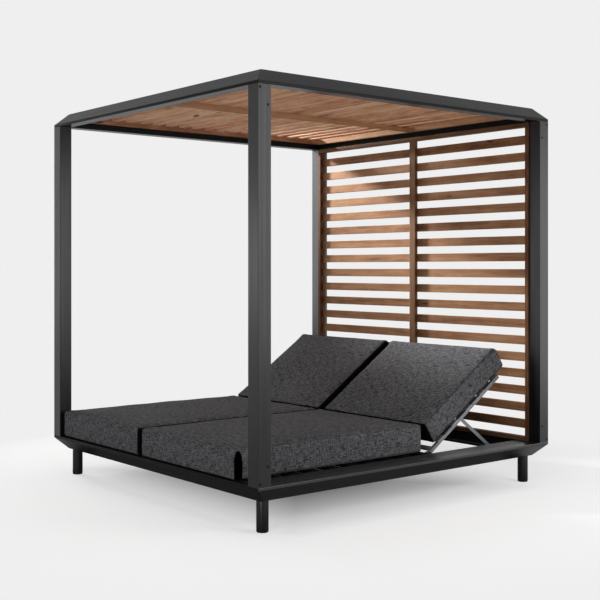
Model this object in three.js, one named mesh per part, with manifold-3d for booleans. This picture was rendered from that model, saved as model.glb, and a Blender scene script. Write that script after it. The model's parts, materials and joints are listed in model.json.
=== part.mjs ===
// Outdoor daybed: a black aluminium frame with a slatted wooden roof and back panel,
// and two loungers whose padded backrests recline on folding stays.
// Millimetres, +Z up. The origin lies on the floor at the centre of the footprint.
// The foot end faces -Y, the back panel stands at +Y.

import * as THREE from 'three';
import { mergeVertices } from 'three/addons/utils/BufferGeometryUtils.js';
import Module from 'manifold-3d';

const wasm = await Module();
wasm.setup();

// Overall sizes
const frameWidth = 2000;
const frameDepth = 2056;
const frameHeight = 2116;
const legHeight = 149;

// Rail profile shared by the roof ring and the base ring
const ringWidth = 70;
const lipHeight = 14;
const chamferRun = 64;
const profileWall = 3;

// Posts and legs
const postWidth = 76;
const postDepth = 74;
const postWall = 3;
const postEdgeRadius = 2;
const legDiameter = 58;
const legWall = 3;
const legInset = 101;
const glideHeight = 6;
const glideDiameter = 56;
const glideEdgeRadius = 3;
const legEdgeRadius = 2;

// Beams inside the base ring
const sideBeamWidth = 85;
const centreBeamWidth = 40;
const centreBeamHeight = 70;
const hingeBeamWidth = 40;
const hingeBeamHeight = 28;
const beamWall = 3;
const beamEdgeRadius = 2;

// Slatted wooden panels
const panelDepth = 44;
const panelProud = 9;
const stileWidth = 24;
const slatWidth = 50;
const slatThickness = 19;
const battenWidth = 48;
const backTopRailHeight = 23;
const backBottomRailHeight = 22;
const roofEndRailWidth = 24;
const backSlatCount = 18;
const roofSlatCount = 19;

// Seat decks
const deckSlatCount = 10;
const deckSlatWidth = 60;
const deckSlatThickness = 18;
const deckBearerWidth = 20;
const deckBearerHeight = 24;
const deckBearerInset = 12;
const deckBearerLetIn = 6;
const deckRearGap = 34;

// Backrest frames. Heights here are measured square to the backrest, from its hinge axis.
const backrestLength = 679;
const restAngle = THREE.MathUtils.degToRad(34);
const raisedAngle = THREE.MathUtils.degToRad(50);
const backrestEndClearance = 4;
const backrestLift = 1;
const backrestSideClearance = 35;
const barWidth = 20;
const barDepth = 17;
const barBelowHinge = 7;
const barGrooveWidth = 4;
const barGrooveDepth = 2;
const eyeRadius = 12;
const hingePinRadius = 5;
const hingePinHeadRadius = 8;
const hingePinHeadLength = 2;
const lowerBarPlace = 30;
const backSlatThickness = 4;
const backSlatWidth = 50;
const firstBackSlatPlace = 90;
const backrestSlatCount = 5;

// Hinge brackets
const bracketPlate = 4;
const bracketBase = 3;
const bracketLength = 32;
const bracketTopRadius = 13;
const bracketEyeClearance = 2;

// Folding stays, which make a triangle of two equal sides with the backrest
const stayFootClearance = 59;
const pivotLugRadius = 8;
const pivotLugThickness = 3;
const pivotStudRadius = 4;
const pivotHeadRadius = 7;
const pivotHeadLength = 2;
const stayArmWidth = 18;
const stayArmThickness = 6;
const stayGrooveWidth = 5;
const stayGrooveDepth = 1.5;
const stayArmClearance = 0.5;
const axleRadius = 4;
const runnerRadius = 6.5;
const runnerLength = 9.5;

// Guide rails that the runners of the stays slide in
const guideDepth = 13.7;
const guideWall = 2.4;
const guideOverrun = 18;
const guideSlope = THREE.MathUtils.degToRad(-1.15);
const runnerEndClearance = 0.4;

// Pads
const padPostClearance = 18.5;
const padGap = 30;
const padLedge = 115.5;
const seatPadThickness = 152;
const backPadThickness = 141;
const padFrontSetback = 8;
const seatPadHingeSetback = 41;
const seatPadCrown = 13;
const backPadCrown = 10;
const padDrawIn = 7;
const padEdgeRadius = 16;
const padPanelClearance = 18;
const padFlatOffset = 4;
const padRestShift = 96;
const backPadSlip = { left: -8, right: 0 };

// Fits
const fitGap = 0.3;
const overrun = 5;

// Facet counts
const arcSteps = 3;
const roundSteps = 24;
const legSteps = 24;
const padWidthSteps = 6;
const seatPadLengthSteps = 9;
const backPadLengthSteps = 6;
const padThicknessSteps = 1;

// Places that follow from the sizes above
const ringHeight = lipHeight + chamferRun;
const deckHeight = legHeight + ringHeight;
const roofRingBottom = frameHeight - ringHeight;
const halfWidth = frameWidth / 2;
const halfDepth = frameDepth / 2;
const bayOuter = halfWidth - ringWidth - sideBeamWidth;
const bayInner = centreBeamWidth / 2;
const bayCentre = (bayOuter + bayInner) / 2;
const bayHalf = (bayOuter - bayInner) / 2;
const panelFront = halfDepth - postDepth - panelProud;
const hingeY = panelFront - backrestEndClearance - backrestLength;
const backrestHalf = bayHalf - backrestSideClearance;
const barTop = barDepth - barBelowHinge;
const hingeZ = deckHeight + backrestLift - barTop - backSlatThickness;
const seatPadRear = hingeY - seatPadHingeSetback;
const padSeat = barTop + backSlatThickness + fitGap;
const pivotReach = (panelFront - stayFootClearance - hingeY) / 2;
const barInnerFace = backrestHalf - barWidth;
const stayArmFace = barInnerFace - pivotLugThickness - stayArmClearance;
const stayFootPlace = (angle) => 2 * pivotReach * Math.cos(angle - guideSlope);
const betweenPosts = frameWidth - 2 * postWidth;
const padWidth = (betweenPosts - padPostClearance - padGap - padLedge) / 2;
const leftPadCentre = postWidth + padPostClearance + padWidth / 2 - halfWidth;
const padCentre = { left: leftPadCentre, right: leftPadCentre + padWidth + padGap };

// Materials
function material(color, roughness, metalness) {
  return new THREE.MeshStandardMaterial({ color, roughness, metalness });
}

const blackFrame = material(0x3b3c3e, 0.55, 0.3);
const blackTrim = material(0x1d1e1f, 0.7, 0);
const teak = material(0xa47850, 0.6, 0);
const charcoalFabric = material(0x474548, 0.95, 0);
const greyMetal = material(0x8b8d8f, 0.4, 0.7);
const steel = material(0xa9abad, 0.3, 0.9);

function part(name, geometry, finish) {
  const mesh = new THREE.Mesh(geometry, finish);
  mesh.name = name;
  return mesh;
}

function group(...children) {
  const made = new THREE.Group();
  made.add(...children);
  return made;
}

// Solids and booleans

function toSolid(geometry) {
  const bare = geometry.clone();
  bare.deleteAttribute('normal');
  bare.deleteAttribute('uv');
  const merged = mergeVertices(bare);
  return new wasm.Manifold(new wasm.Mesh({
    numProp: 3,
    vertProperties: merged.attributes.position.array,
    triVerts: Uint32Array.from(merged.index.array),
  }));
}

function fromSolid(solid) {
  const mesh = solid.getMesh();
  const geometry = new THREE.BufferGeometry();
  geometry.setAttribute('position', new THREE.BufferAttribute(mesh.vertProperties, mesh.numProp));
  geometry.setIndex(new THREE.BufferAttribute(mesh.triVerts, 1));
  geometry.computeVertexNormals();
  return geometry;
}

function join(...geometries) {
  return fromSolid(geometries.map(toSolid).reduce((whole, piece) => whole.add(piece)));
}

function cut(geometry, ...tools) {
  return fromSolid(tools.map(toSolid).reduce((whole, tool) => whole.subtract(tool), toSolid(geometry)));
}

function overlapOf(first, second) {
  return fromSolid(toSolid(first).intersect(toSolid(second)));
}

// Basic forms

function block([x0, x1], [y0, y1], [z0, z1]) {
  const geometry = new THREE.BoxGeometry(x1 - x0, y1 - y0, z1 - z0);
  return geometry.translate((x0 + x1) / 2, (y0 + y1) / 2, (z0 + z1) / 2);
}

function extrude(shape, length, curveSegments = arcSteps) {
  return new THREE.ExtrudeGeometry(shape, { depth: length, steps: 1, bevelEnabled: false, curveSegments });
}

// An outline drawn in Y and Z runs along +X from zero
function alongX(geometry) {
  const basis = new THREE.Matrix4().makeBasis(
    new THREE.Vector3(0, 1, 0),
    new THREE.Vector3(0, 0, 1),
    new THREE.Vector3(1, 0, 0),
  );
  return geometry.applyMatrix4(basis);
}

// An outline drawn in X and Z runs along Y, centred on zero
function alongY(geometry, length) {
  return geometry.rotateX(Math.PI / 2).translate(0, length / 2, 0);
}

function rodAlongX(radius, x0, x1, steps = roundSteps) {
  const rod = new THREE.CylinderGeometry(radius, radius, x1 - x0, steps);
  return rod.rotateZ(-Math.PI / 2).translate((x0 + x1) / 2, 0, 0);
}

function roundedRectangle(width, height, radius, Outline = THREE.Shape) {
  const x = width / 2 - radius;
  const y = height / 2 - radius;
  const outline = new Outline();
  outline.absarc(x, y, radius, 0, Math.PI / 2);
  outline.absarc(-x, y, radius, Math.PI / 2, Math.PI);
  outline.absarc(-x, -y, radius, Math.PI, Math.PI * 3 / 2);
  outline.absarc(x, -y, radius, Math.PI * 3 / 2, Math.PI * 2);
  return outline;
}

function rectangularTube(width, height, wall, edgeRadius, length) {
  const shape = roundedRectangle(width, height, edgeRadius);
  const bore = new THREE.Path([
    new THREE.Vector2(wall - width / 2, wall - height / 2),
    new THREE.Vector2(width / 2 - wall, wall - height / 2),
    new THREE.Vector2(width / 2 - wall, height / 2 - wall),
    new THREE.Vector2(wall - width / 2, height / 2 - wall),
  ]);
  shape.holes.push(bore);
  return extrude(shape, length);
}

// Rings of mitred hollow rails, one for the roof and one for the base

// Each edge of a convex outline moves inwards by the wall
function insetOutline(outline, wall) {
  const edges = outline.map((start, i) => {
    const end = outline[(i + 1) % outline.length];
    const along = end.clone().sub(start).normalize();
    const inwards = new THREE.Vector2(-along.y, along.x);
    return { point: start.clone().addScaledVector(inwards, wall), along };
  });
  return edges.map((edge, i) => {
    const before = edges[(i + edges.length - 1) % edges.length];
    const across = before.along.cross(edge.along);
    const step = edge.point.clone().sub(before.point).cross(edge.along) / across;
    return before.point.clone().addScaledVector(before.along, step);
  });
}

// The rail in section: x runs inwards from the outer face, y runs up
function roofRailOutline() {
  return [
    new THREE.Vector2(0, 0),
    new THREE.Vector2(ringWidth, 0),
    new THREE.Vector2(ringWidth, ringHeight),
    new THREE.Vector2(chamferRun, ringHeight),
    new THREE.Vector2(0, lipHeight),
  ];
}

function baseRailOutline() {
  return roofRailOutline().map((point) => new THREE.Vector2(point.x, ringHeight - point.y)).reverse();
}

function mitredRail(outline, length) {
  const shape = new THREE.Shape(outline);
  shape.holes.push(new THREE.Path(insetOutline(outline, profileWall)));
  const geometry = extrude(shape, length);
  const position = geometry.attributes.position;
  const relief = fitGap * Math.SQRT1_2;
  for (let i = 0; i < position.count; i += 1) {
    const mitre = position.getX(i) + relief;
    position.setZ(i, position.getZ(i) < length / 2 ? mitre : length - mitre);
  }
  geometry.computeVertexNormals();
  return geometry;
}

function ring(name, outline, bottom) {
  const sides = ['left', 'front', 'right', 'back'];
  return group(...sides.map((side, quarter) => {
    const lengthways = quarter % 2 === 0;
    const length = lengthways ? frameDepth : frameWidth;
    const reach = lengthways ? halfWidth : halfDepth;
    const rail = part(`${name}_rail_${side}`, mitredRail(outline, length), blackFrame);
    rail.rotation.x = Math.PI / 2;
    rail.position.set(-reach, length / 2, bottom);
    const quarterTurn = group(rail);
    quarterTurn.rotation.z = quarter * Math.PI / 2;
    return quarterTurn;
  }));
}

// Posts, legs and glides at the four corners

const corners = [
  { name: 'front_left', x: -1, y: -1 },
  { name: 'front_right', x: 1, y: -1 },
  { name: 'back_left', x: -1, y: 1 },
  { name: 'back_right', x: 1, y: 1 },
];

function post(corner) {
  const length = roofRingBottom - deckHeight - 2 * fitGap;
  const tube = rectangularTube(postWidth, postDepth, postWall, postEdgeRadius, length);
  const mesh = part(`post_${corner.name}`, tube, blackFrame);
  mesh.position.set(
    corner.x * (halfWidth - postWidth / 2),
    corner.y * (halfDepth - postDepth / 2),
    deckHeight + fitGap,
  );
  return mesh;
}

// A quarter of a round edge, from the flat underside out to the upright side
function roundedFoot(radius, edgeRadius, height) {
  const points = [];
  for (let i = 0; i <= arcSteps; i += 1) {
    const angle = (i / arcSteps) * Math.PI / 2;
    points.push(new THREE.Vector2(
      radius - edgeRadius + edgeRadius * Math.sin(angle),
      height + edgeRadius - edgeRadius * Math.cos(angle),
    ));
  }
  return points;
}

function turned(points, steps) {
  return new THREE.LatheGeometry(points, steps).rotateX(Math.PI / 2);
}

function leg(corner) {
  const radius = legDiameter / 2;
  const bottom = glideHeight + fitGap;
  const top = legHeight - fitGap;
  const outline = [
    new THREE.Vector2(0, bottom),
    ...roundedFoot(radius, legEdgeRadius, bottom),
    new THREE.Vector2(radius, top),
    new THREE.Vector2(radius - legWall, top),
    new THREE.Vector2(radius - legWall, bottom + legWall),
    new THREE.Vector2(0, bottom + legWall),
  ];
  return atLeg(part(`leg_${corner.name}`, turned(outline, legSteps), blackFrame), corner);
}

function glide(corner) {
  const radius = glideDiameter / 2;
  const outline = [
    new THREE.Vector2(0, 0),
    ...roundedFoot(radius, glideEdgeRadius, 0),
    new THREE.Vector2(radius, glideHeight),
    new THREE.Vector2(0, glideHeight),
  ];
  return atLeg(part(`glide_${corner.name}`, turned(outline, legSteps), blackTrim), corner);
}

function atLeg(mesh, corner) {
  mesh.position.set(corner.x * (halfWidth - legInset), corner.y * (halfDepth - legInset), 0);
  return mesh;
}

// Beams inside the base

function sideBeam(side) {
  const width = sideBeamWidth - fitGap;
  const length = frameDepth - 2 * (ringWidth + fitGap);
  const tube = alongY(rectangularTube(width, ringHeight, beamWall, beamEdgeRadius, length), length);
  const mesh = part(`side_beam_${side.name}`, tube, blackFrame);
  mesh.position.set(side.x * (bayOuter + width / 2), 0, legHeight + ringHeight / 2);
  return mesh;
}

function centreBeam() {
  const length = frameDepth - 2 * (ringWidth + fitGap);
  const section = rectangularTube(centreBeamWidth, centreBeamHeight, beamWall, beamEdgeRadius, length);
  const mesh = part('centre_beam', alongY(section, length), blackFrame);
  mesh.position.z = deckHeight - centreBeamHeight / 2;
  return mesh;
}

const hingeBeamTop = hingeZ - eyeRadius - bracketEyeClearance - bracketBase - fitGap;

function hingeBeam(side) {
  const length = 2 * (bayHalf - fitGap);
  const section = rectangularTube(hingeBeamWidth, hingeBeamHeight, beamWall, beamEdgeRadius, length);
  const mesh = part(`hinge_beam_${side.name}`, alongX(section).translate(-length / 2, 0, 0), blackFrame);
  mesh.position.set(side.x * bayCentre, hingeY, hingeBeamTop - hingeBeamHeight / 2);
  return mesh;
}

// Slatted deck that carries a seat pad: cross slats on two bearers

function seatDeck(side) {
  const half = bayHalf - fitGap;
  const front = ringWidth + fitGap - halfDepth;
  const rear = hingeY - deckRearGap;
  const slatBottom = deckHeight - deckSlatThickness;
  const bearerTop = slatBottom + deckBearerLetIn;
  const bearer = (x) => block(
    [x, x + deckBearerWidth],
    [front + deckBearerInset, rear - deckBearerInset],
    [bearerTop - deckBearerHeight, bearerTop],
  );
  const pitch = (rear - front - deckSlatWidth) / (deckSlatCount - 1);
  const slats = Array.from({ length: deckSlatCount }, (_, i) => block(
    [-half, half],
    [front + i * pitch, front + i * pitch + deckSlatWidth],
    [slatBottom, deckHeight],
  ));
  const bearerPlace = half - deckBearerInset - deckBearerWidth;
  const deck = join(bearer(bearerPlace), bearer(-bearerPlace - deckBearerWidth), ...slats);
  const mesh = part(`seat_deck_${side.name}`, deck, blackFrame);
  mesh.position.x = side.x * bayCentre;
  return mesh;
}

// Slatted wooden panels. A ladder is two stiles with the slats let in between them.
// It is drawn lying flat: x across, y up the panel, z from the front face to the slats' back.

function slatLadder(halfSpan, low, high, slatLow, slatHigh, count) {
  const stiles = [-1, 1].map((sign) => block(
    sign < 0 ? [-halfSpan, stileWidth - halfSpan] : [halfSpan - stileWidth, halfSpan],
    [low, high],
    [0, panelDepth],
  ));
  const gap = (slatHigh - slatLow - count * slatWidth) / (count + 1);
  const slats = Array.from({ length: count }, (_, i) => {
    const start = slatLow + gap + i * (slatWidth + gap);
    return block(
      [stileWidth - halfSpan, halfSpan - stileWidth],
      [start, start + slatWidth],
      [panelDepth - slatThickness, panelDepth],
    );
  });
  return join(...stiles, ...slats);
}

function batten(low, high) {
  return block(
    [-battenWidth / 2, battenWidth / 2],
    [low, high],
    [0, panelDepth - slatThickness - fitGap],
  );
}

function roofPanel() {
  const half = halfWidth - ringWidth - fitGap;
  const end = halfDepth - ringWidth - fitGap;
  const inner = end - roofEndRailWidth - fitGap;
  const endRail = block([-half, half], [end - roofEndRailWidth, end], [0, panelDepth]);
  const panel = group(
    part('roof_slats', slatLadder(half, -inner, inner, -inner, inner, roofSlatCount), teak),
    part('roof_batten', batten(-inner, inner), teak),
    part('roof_end_rail_front', endRail.clone().translate(0, roofEndRailWidth - 2 * end, 0), teak),
    part('roof_end_rail_back', endRail, teak),
  );
  panel.position.z = frameHeight - panelDepth;
  return panel;
}

function backPanel() {
  const half = halfWidth - postWidth - fitGap;
  const bottom = deckHeight + fitGap;
  const top = roofRingBottom - fitGap;
  const railUnderside = top - backTopRailHeight;
  const slatHigh = railUnderside - fitGap;
  const slatLow = bottom + backBottomRailHeight;
  const inside = half - stileWidth - fitGap;
  const topRail = block([-half, half], [railUnderside, top], [0, panelDepth]);
  const bottomRail = block([-inside, inside], [bottom, slatLow], [0, panelDepth]);
  const panel = group(
    part('back_slats', slatLadder(half, bottom, slatHigh, slatLow, slatHigh, backSlatCount), teak),
    part('back_batten', batten(slatLow + fitGap, slatHigh), teak),
    part('back_top_rail', topRail, teak),
    part('back_bottom_rail', bottomRail, teak),
  );
  // The panel stands up with its front face towards the foot end
  panel.rotation.set(-Math.PI / 2, 0, Math.PI);
  panel.position.y = panelFront;
  return panel;
}

// Backrest frame. Its own axes: x across, y up the backrest from the hinge axis, z square to it.

// A grooved side bar that ends in the round eye of its hinge; the groove is on its outer face
function sideBar(x0) {
  const grooveDepth = [barGrooveDepth - overrun, barGrooveDepth];
  const grooveFace = x0 < 0 ? grooveDepth : grooveDepth.map((depth) => barWidth - depth).reverse();
  const middle = barTop - barDepth / 2;
  return join(
    rodAlongX(eyeRadius, x0, x0 + barWidth),
    cut(
      block([x0, x0 + barWidth], [0, backrestLength], [-barBelowHinge, barTop]),
      block(
        grooveFace.map((x) => x0 + x),
        [eyeRadius, backrestLength + overrun],
        [middle - barGrooveWidth / 2, middle + barGrooveWidth / 2],
      ),
    ),
  );
}

// A lug on the inner face of a bar, with the headed stud that its stay arm turns on
function pivotLug(sign) {
  const lugFace = barInnerFace - pivotLugThickness;
  const headFace = stayArmFace - stayArmThickness - fitGap;
  const lug = join(
    rodAlongX(pivotLugRadius, lugFace, barInnerFace),
    block([lugFace, barInnerFace], [-pivotLugRadius, pivotLugRadius], [0, barTop]),
    rodAlongX(pivotStudRadius, headFace, lugFace),
    rodAlongX(pivotHeadRadius, headFace - pivotHeadLength, headFace),
  );
  const turn = sign > 0 ? 0 : Math.PI;
  return lug.rotateZ(turn).translate(0, pivotReach, 0);
}

function backrestFrame(side) {
  const half = backrestHalf;
  const height = [-barBelowHinge, barTop];
  const bars = [-half, barInnerFace].map(sideBar);
  const crossBar = (start) => block([-barInnerFace, barInnerFace], [start, start + barWidth], height);
  const lastPlace = backrestLength - backSlatWidth;
  const pitch = (lastPlace - firstBackSlatPlace) / (backrestSlatCount - 1);
  const slats = Array.from({ length: backrestSlatCount }, (_, i) => block(
    [-half, half],
    [firstBackSlatPlace + i * pitch, firstBackSlatPlace + i * pitch + backSlatWidth],
    [barTop, barTop + backSlatThickness],
  ));
  const frame = join(
    ...bars,
    crossBar(lowerBarPlace),
    crossBar(backrestLength - barWidth),
    ...slats,
    pivotLug(-1),
    pivotLug(1),
  );
  const bores = [-half, barInnerFace].map((x) => rodAlongX(
    hingePinRadius + fitGap,
    x - overrun,
    x + barWidth + overrun,
  ));
  return part(`backrest_frame_${side.name}`, cut(frame, ...bores), greyMetal);
}

// Hinge bracket: a folded channel whose two cheeks have round tops, bored for the pin.
// It is drawn about the hinge axis, with its cheeks on both sides of the bar's eye.

function hingeBracket(name) {
  const inside = barWidth / 2 + fitGap;
  const outside = inside + bracketPlate;
  const baseTop = -eyeRadius - bracketEyeClearance;
  const baseBottom = baseTop - bracketBase;
  const channel = cut(
    block([-outside, outside], [-bracketLength / 2, bracketLength / 2], [baseBottom, bracketTopRadius]),
    block([-inside, inside], [-bracketLength, bracketLength], [baseTop, bracketTopRadius + overrun]),
  );
  const cheek = new THREE.Shape();
  cheek.moveTo(-bracketLength / 2, baseBottom);
  cheek.lineTo(bracketLength / 2, baseBottom);
  cheek.lineTo(bracketLength / 2, baseTop);
  cheek.lineTo(bracketTopRadius, 0);
  cheek.absarc(0, 0, bracketTopRadius, 0, Math.PI);
  cheek.lineTo(-bracketLength / 2, baseTop);
  cheek.closePath();
  const profile = extrude(cheek, 2 * (outside + overrun), roundSteps / 2);
  const tombstone = alongX(profile).translate(-outside - overrun, 0, 0);
  const bore = rodAlongX(hingePinRadius + fitGap, -outside - overrun, outside + overrun);
  return part(name, cut(overlapOf(channel, tombstone), bore), blackFrame);
}

function hingePin(name, outwards) {
  const end = barWidth / 2 + fitGap + bracketPlate + fitGap;
  const shank = rodAlongX(hingePinRadius, -end, end + hingePinHeadLength);
  const head = rodAlongX(hingePinHeadRadius, end, end + hingePinHeadLength);
  const pin = join(shank, head);
  return part(name, outwards > 0 ? pin : pin.rotateZ(Math.PI), steel);
}

// Folding stay: two flat arms on an axle whose ends are turned as runners.
// It is drawn with its top pivot on the x axis and its foot along +y.

function stayArm(name, x0) {
  const radius = stayArmWidth / 2;
  const outline = new THREE.Shape();
  outline.absarc(0, 0, radius, Math.PI / 2, Math.PI * 3 / 2);
  outline.absarc(pivotReach, 0, radius, -Math.PI / 2, Math.PI / 2);
  const arm = alongX(extrude(outline, stayArmThickness, roundSteps / 2));
  const groove = (low, high) => block(
    [low, high],
    [stayArmWidth, pivotReach - stayArmWidth],
    [-stayGrooveWidth / 2, stayGrooveWidth / 2],
  );
  const grooves = [
    groove(-overrun, stayGrooveDepth),
    groove(stayArmThickness - stayGrooveDepth, stayArmThickness + overrun),
  ];
  const bore = (radiusOfPin) => rodAlongX(radiusOfPin + fitGap, -overrun, stayArmThickness + overrun);
  const bored = cut(arm, ...grooves, bore(pivotStudRadius), bore(axleRadius).translate(0, pivotReach, 0));
  return part(name, bored.translate(x0, 0, 0), greyMetal);
}

function stayAxle(side) {
  const end = bayHalf - fitGap - guideWall - runnerEndClearance;
  const axle = join(
    rodAlongX(axleRadius, -end, end),
    rodAlongX(runnerRadius, -end, runnerLength - end),
    rodAlongX(runnerRadius, end - runnerLength, end),
  );
  return part(`stay_axle_${side.name}`, axle.translate(0, pivotReach, 0), blackTrim);
}

function stay(side) {
  return group(
    stayArm(`stay_arm_${side.name}_west`, -stayArmFace),
    stayArm(`stay_arm_${side.name}_east`, stayArmFace - stayArmThickness),
    stayAxle(side),
  );
}

// Guide rail for the runners: an open channel on the face of a beam. It falls gently to the rear,
// in line with the hinge axis, so that the axle passes under the side bars of a flat backrest.

function guideRail(name, towards) {
  const inner = runnerRadius + fitGap;
  const outer = inner + guideWall;
  const points = [
    new THREE.Vector2(0, -outer),
    new THREE.Vector2(guideDepth, -outer),
    new THREE.Vector2(guideDepth, -inner),
    new THREE.Vector2(guideWall, -inner),
    new THREE.Vector2(guideWall, inner),
    new THREE.Vector2(guideDepth, inner),
    new THREE.Vector2(guideDepth, outer),
    new THREE.Vector2(0, outer),
  ];
  const start = stayFootPlace(raisedAngle) - guideOverrun;
  const finish = stayFootPlace(0) + guideOverrun;
  const length = finish - start;
  const channel = alongY(extrude(new THREE.Shape(points), length), length);
  if (towards < 0) channel.rotateZ(Math.PI);
  return part(name, channel.translate(0, (start + finish) / 2, 0), blackFrame);
}

// Pads: a rounded box with a crowned top and sides that draw in between the corners

// Stops across one side: fine over the round edges, even between them
function padStops(length, steps) {
  const half = length / 2;
  const round = [0, Math.PI / 8].map((angle) => half - padEdgeRadius * (1 - Math.tan(angle)));
  const even = Array.from({ length: steps - 1 }, (_, i) => ((i + 1) * 2 / steps - 1) * round[0]);
  return [-half, -round[1], -round[0], ...even, round[0], round[1], half];
}

function pad(width, length, thickness, crown, lengthSteps) {
  const size = [width, length, thickness];
  const stops = [
    padStops(width, padWidthSteps),
    padStops(length, lengthSteps),
    padStops(thickness, padThicknessSteps),
  ];
  const box = new THREE.BoxGeometry(...size, ...stops.map((list) => list.length - 1));
  const position = box.attributes.position;
  const point = new THREE.Vector3();
  const core = new THREE.Vector3();
  const limit = new THREE.Vector3(...size.map((side) => side / 2 - padEdgeRadius));
  for (let i = 0; i < position.count; i += 1) {
    point.fromBufferAttribute(position, i);
    point.fromArray(point.toArray().map((value, axis) => {
      const list = stops[axis];
      return list[Math.round((value / size[axis] + 1 / 2) * (list.length - 1))];
    }));
    core.copy(point).clamp(limit.clone().negate(), limit);
    point.sub(core).setLength(padEdgeRadius).add(core);
    const acrossShare = 1 - (2 * point.x / width) ** 2;
    const alongShare = 1 - (2 * point.y / length) ** 2;
    const upShare = 1 - (2 * point.z / thickness) ** 2;
    point.x -= Math.sign(point.x) * padDrawIn * alongShare * upShare * (1 - acrossShare);
    point.y -= Math.sign(point.y) * padDrawIn * acrossShare * upShare * (1 - alongShare);
    if (point.z > 0) point.z += crown * acrossShare * alongShare * (2 * point.z / thickness);
    position.setXYZ(i, point.x, point.y, point.z + thickness / 2);
  }
  box.deleteAttribute('normal');
  box.deleteAttribute('uv');
  const closed = mergeVertices(box);
  closed.computeVertexNormals();
  return closed;
}

function seatPad(side) {
  const front = padFrontSetback - halfDepth;
  const length = seatPadRear - front;
  const form = pad(padWidth, length, seatPadThickness, seatPadCrown, seatPadLengthSteps);
  const mesh = part(`seat_pad_${side.name}`, form, charcoalFabric);
  mesh.position.set(padCentre[side.name], (front + seatPadRear) / 2, deckHeight + fitGap);
  return mesh;
}

function backrestPad(side) {
  const flatStart = seatPadRear + padFlatOffset;
  const length = panelFront - padPanelClearance - flatStart;
  const form = pad(padWidth, length, backPadThickness, backPadCrown, backPadLengthSteps);
  const mesh = part(`backrest_pad_${side.name}`, form, charcoalFabric);
  const place = flatStart - hingeY + padRestShift + length / 2;
  const x = padCentre[side.name] + backPadSlip[side.name] - side.x * bayCentre;
  mesh.position.set(x, place, padSeat);
  return mesh;
}

// Assembly

const sideways = [
  { name: 'left', x: -1 },
  { name: 'right', x: 1 },
];

function lounger(side) {
  const stayGroup = stay(side);
  stayGroup.position.y = pivotReach;
  stayGroup.rotation.x = 2 * (guideSlope - restAngle);

  const backrest = group(backrestFrame(side), backrestPad(side), stayGroup);
  backrest.rotation.x = restAngle;
  const eyes = [-1, 1].flatMap((sign) => {
    const label = `${side.name}_${sign < 0 ? 'west' : 'east'}`;
    const pieces = [hingeBracket(`hinge_bracket_${label}`), hingePin(`hinge_pin_${label}`, sign)];
    pieces.forEach((piece) => { piece.position.x = sign * (backrestHalf - barWidth / 2); });
    return pieces;
  });
  const guides = [-1, 1].map((sign) => {
    const rail = guideRail(`guide_rail_${side.name}_${sign < 0 ? 'west' : 'east'}`, -sign);
    rail.position.x = sign * (bayHalf - fitGap);
    rail.rotation.x = guideSlope;
    return rail;
  });
  const atHinge = group(backrest, ...eyes, ...guides);
  atHinge.position.set(side.x * bayCentre, hingeY, hingeZ);
  return atHinge;
}

const daybed = group(
  ring('roof', roofRailOutline(), roofRingBottom),
  ring('base', baseRailOutline(), legHeight),
  ...corners.flatMap((corner) => [post(corner), leg(corner), glide(corner)]),
  ...sideways.flatMap((side) => [sideBeam(side), hingeBeam(side), seatDeck(side)]),
  ...sideways.flatMap((side) => [seatPad(side), lounger(side)]),
  centreBeam(),
  roofPanel(),
  backPanel(),
);
daybed.name = 'daybed';

export default daybed;
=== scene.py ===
# %% [markdown]
# # An outdoor daybed with a slatted roof
# The imported model gives every rigid piece its size and place, in metres, with the floor at
# zero height and the foot end towards -Y. This script only dresses it: it adds the soft
# pads, the screws and the finishes, and sets up a plain studio to look at it in.

# %% Load the model
import json
import math

import bmesh
import bpy
from mathutils import Matrix, Vector, noise
from mathutils.bvhtree import BVHTree
from mathutils.kdtree import KDTree


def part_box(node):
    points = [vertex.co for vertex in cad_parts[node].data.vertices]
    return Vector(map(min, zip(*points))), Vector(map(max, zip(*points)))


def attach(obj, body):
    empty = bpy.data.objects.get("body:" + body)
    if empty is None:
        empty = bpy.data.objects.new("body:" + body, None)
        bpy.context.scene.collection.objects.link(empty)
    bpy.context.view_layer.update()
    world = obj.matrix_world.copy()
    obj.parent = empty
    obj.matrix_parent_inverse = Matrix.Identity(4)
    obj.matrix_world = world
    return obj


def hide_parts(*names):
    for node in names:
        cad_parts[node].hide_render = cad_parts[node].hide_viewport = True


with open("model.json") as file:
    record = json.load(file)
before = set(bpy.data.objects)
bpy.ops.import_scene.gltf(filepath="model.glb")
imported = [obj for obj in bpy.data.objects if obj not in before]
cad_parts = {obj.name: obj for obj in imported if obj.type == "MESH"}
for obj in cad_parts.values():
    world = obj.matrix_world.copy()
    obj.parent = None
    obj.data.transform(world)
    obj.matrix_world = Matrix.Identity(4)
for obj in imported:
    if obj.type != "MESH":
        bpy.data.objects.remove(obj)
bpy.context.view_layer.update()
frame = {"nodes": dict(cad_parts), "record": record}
print("pieces in the model:", len(frame["nodes"]))


# %% [markdown]
# Most pieces are drawn in bmesh, rounded at their edges, and turned into a mesh and an
# object. Three short helpers take up those steps.

# %% Helpers for pieces
def add_object(name, data):
    made = bpy.data.objects.new(name, data)
    bpy.context.collection.objects.link(made)
    return made


def as_mesh(name, bm):
    mesh = bpy.data.meshes.new(name)
    bm.to_mesh(mesh)
    bm.free()
    return mesh


def round_edges(bm, edges, radius, segments):
    bmesh.ops.bevel(
        bm, geom=edges, offset=radius, affect="EDGES", segments=segments, profile=0.5, material=-1,
    )


# %% [markdown]
# The picture was taken from the right of the foot end, about chest high, with the camera
# held level. A level camera keeps every post upright in the frame. A small vertical shift,
# as on a view camera, brings the bed to the middle without tilting.

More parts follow.
